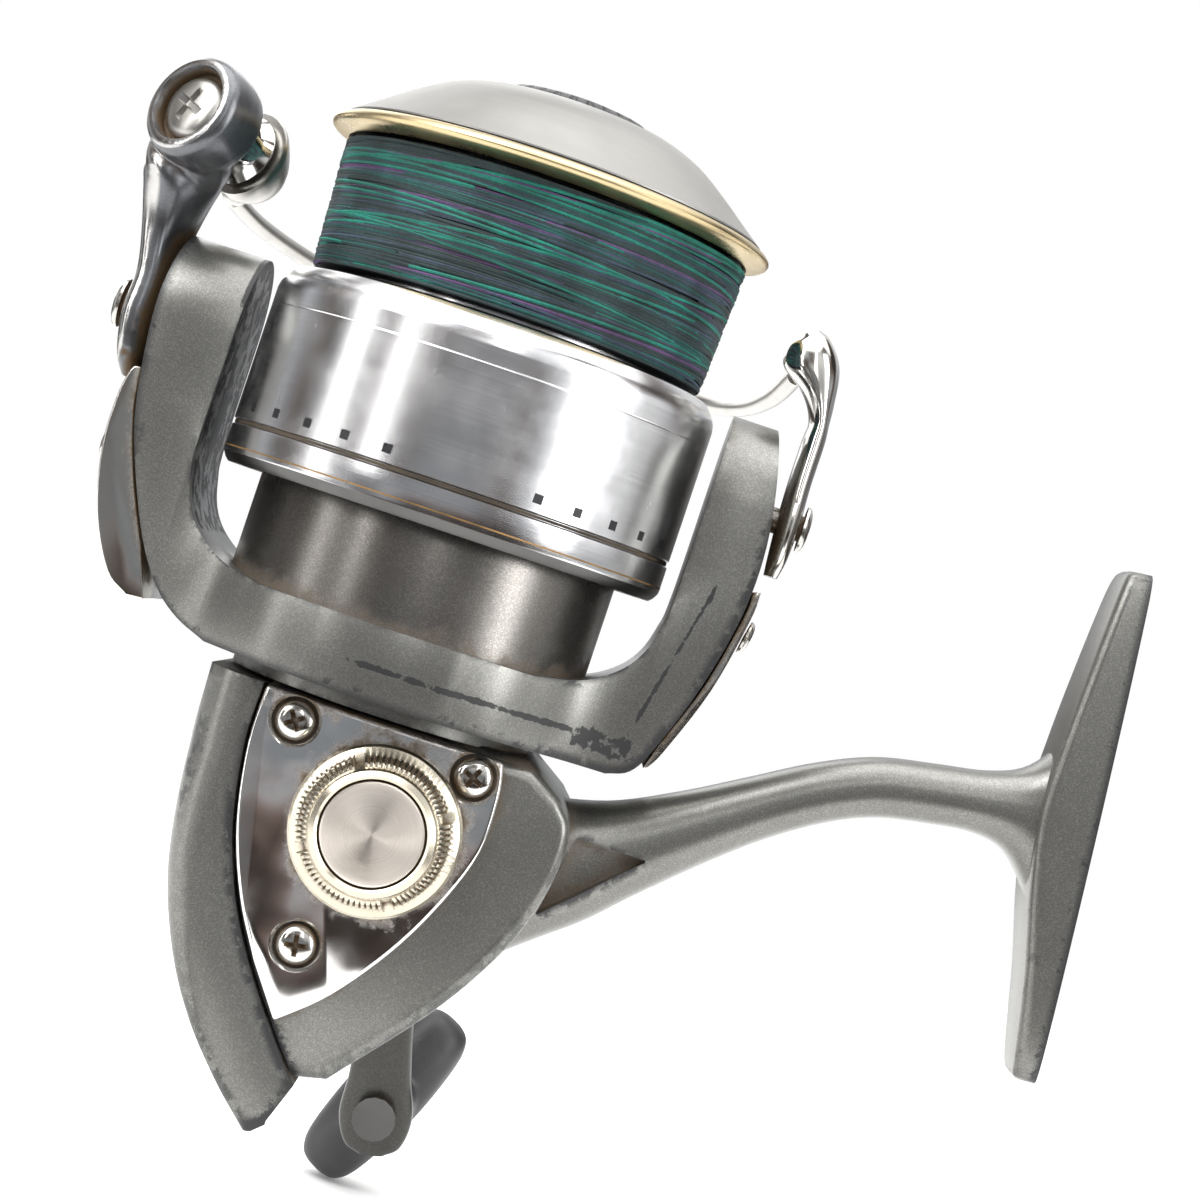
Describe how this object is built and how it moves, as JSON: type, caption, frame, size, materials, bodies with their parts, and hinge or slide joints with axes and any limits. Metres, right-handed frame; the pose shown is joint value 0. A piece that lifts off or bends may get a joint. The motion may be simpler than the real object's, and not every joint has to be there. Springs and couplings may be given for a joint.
{
  "type": "spinning reel",
  "caption": "Front-drag spinning reel with a full spool, rotor and folding bail, two-gear drive, side crank with a T knob, and a long flat foot.",
  "frame": {"origin": "middle of the foot's flat face, where it lies on the rod", "axes": "+Z along the spool's axis towards its front, +X from the spool towards the rod, +Y towards the crank's side"},
  "size_m": [0.1317, 0.1019, 0.1432],
  "materials": {
    "housing_paint": "warm grey metallic paint, worn to black at the edges",
    "rotor_paint": "grey metallic paint, chipped black at the edges",
    "bail_paint": "satin grey metallic paint",
    "handle_paint": "grey metallic paint",
    "bright_chrome": "bright plating, grimy in the corners",
    "plain_steel": "turned steel",
    "yellow_brass": "machined brass",
    "cast_zinc": "die-cast zinc",
    "turned_aluminium": "polished turned aluminium with dark square marks",
    "gold_lip": "gold anodised",
    "satin_silver": "satin silver",
    "braided_line": "wound braid in green, blue and purple",
    "black_plastic": "moulded nylon",
    "dark_rubber": "soft-touch rubber",
    "grey_felt": "oiled felt"
  },
  "bodies": {
    "body": {"body_frame": "housing_paint", "side_cover": "housing_paint", "rear_cover": "housing_paint", "side_plate": "bright_chrome", "side_screw_1": "bright_chrome", "side_screw_2": "bright_chrome", "side_screw_3": "bright_chrome", "side_cap": "bright_chrome", "side_cap_disc": "plain_steel", "drive_bearing_far": "plain_steel", "drive_bearing_near": "plain_steel", "oscillation_stud": "plain_steel", "guide_rod": "plain_steel", "pinion_rear_bush": "yellow_brass", "front_bearing": "plain_steel", "one_way_clutch": "plain_steel"},
    "handle": {"drive_shaft": "plain_steel", "drive_gear": "cast_zinc", "oscillation_drive_gear": "yellow_brass", "handle_collar": "plain_steel", "handle_arm": "handle_paint", "knob_spindle": "plain_steel"},
    "handle_knob": {"handle_knob": "dark_rubber", "knob_end_cap": "bright_chrome"},
    "oscillation": {"oscillation_gear": "black_plastic"},
    "main_shaft": {"main_shaft": "plain_steel", "slider": "cast_zinc", "slider_screw": "plain_steel", "spool_support_collar": "yellow_brass"},
    "rotor": {"rotor": "rotor_paint", "pinion": "yellow_brass", "clutch_sleeve": "plain_steel", "rotor_nut": "yellow_brass", "arm_cover_left": "bright_chrome", "arm_cover_right": "bright_chrome", "arm_cover_screw_left": "bright_chrome", "arm_cover_screw_right": "bright_chrome", "bail_screw_left": "bright_chrome", "bail_screw_right": "bright_chrome", "bail_spring": "plain_steel", "spring_rod": "yellow_brass"},
    "bail": {"bail_arm": "bail_paint", "bail_lever": "bright_chrome", "bail_wire": "plain_steel", "wire_collar": "bail_paint", "roller_bush": "black_plastic", "roller_screw": "bright_chrome"},
    "line_roller": {"line_roller": "bright_chrome"},
    "spool": {"spool": "turned_aluminium", "spool_lip_ring": "gold_lip", "spool_front_cap": "satin_silver", "line_winding": "braided_line", "click_ring": "black_plastic", "drag_washer_inner": "grey_felt", "drag_washer_metal": "plain_steel", "drag_washer_outer": "grey_felt", "drag_retaining_ring": "plain_steel"},
    "drag_knob": {"drag_knob": "dark_rubber", "drag_nut": "yellow_brass", "drag_spring": "plain_steel"}
  },
  "joints": [
    {"name": "handle_spin", "type": "hinge", "parent": "body", "child": "handle", "pos_m": [-0.07745, 0, -0.025], "axis": [0, -1, 0], "continuous": true},
    {"name": "rotor_spin", "type": "hinge", "parent": "body", "child": "rotor", "pos_m": [-0.08245, 0, 0], "axis": [0, 0, 1], "continuous": true},
    {"name": "oscillation_spin", "type": "hinge", "parent": "body", "child": "oscillation", "pos_m": [-0.08145, 0, -0.0394], "axis": [0, -1, 0], "continuous": true},
    {"name": "knob_spin", "type": "hinge", "parent": "handle", "child": "handle_knob", "pos_m": [-0.06886, 0, -0.06917], "axis": [0, 1, 0], "continuous": true},
    {"name": "shaft_slide", "type": "slide", "parent": "body", "child": "main_shaft", "axis": [0, 0, 1], "range_m": [-0.005, 0.009]},
    {"name": "spool_spin", "type": "hinge", "parent": "main_shaft", "child": "spool", "pos_m": [-0.08245, 0, 0.035], "axis": [0, 0, 1], "continuous": true},
    {"name": "drag_knob_turn", "type": "hinge", "parent": "main_shaft", "child": "drag_knob", "pos_m": [-0.08245, 0, 0.057], "axis": [0, 0, 1], "range_deg": [-180, 540]},
    {"name": "bail_hinge", "type": "hinge", "parent": "rotor", "child": "bail", "pos_m": [-0.08245, 0, 0.022], "axis": [1, 0, 0], "range_deg": [0, 115]},
    {"name": "roller_spin", "type": "hinge", "parent": "bail", "child": "line_roller", "pos_m": [-0.11845, -0.001, 0.0433], "axis": [-0.5504, -0.8106, 0.2001], "continuous": true}
  ],
  "couplings": [
    {"joint": "rotor_spin", "follows": "handle_spin", "ratio": 4.7},
    {"joint": "oscillation_spin", "follows": "handle_spin", "ratio": -0.42857}
  ]
}
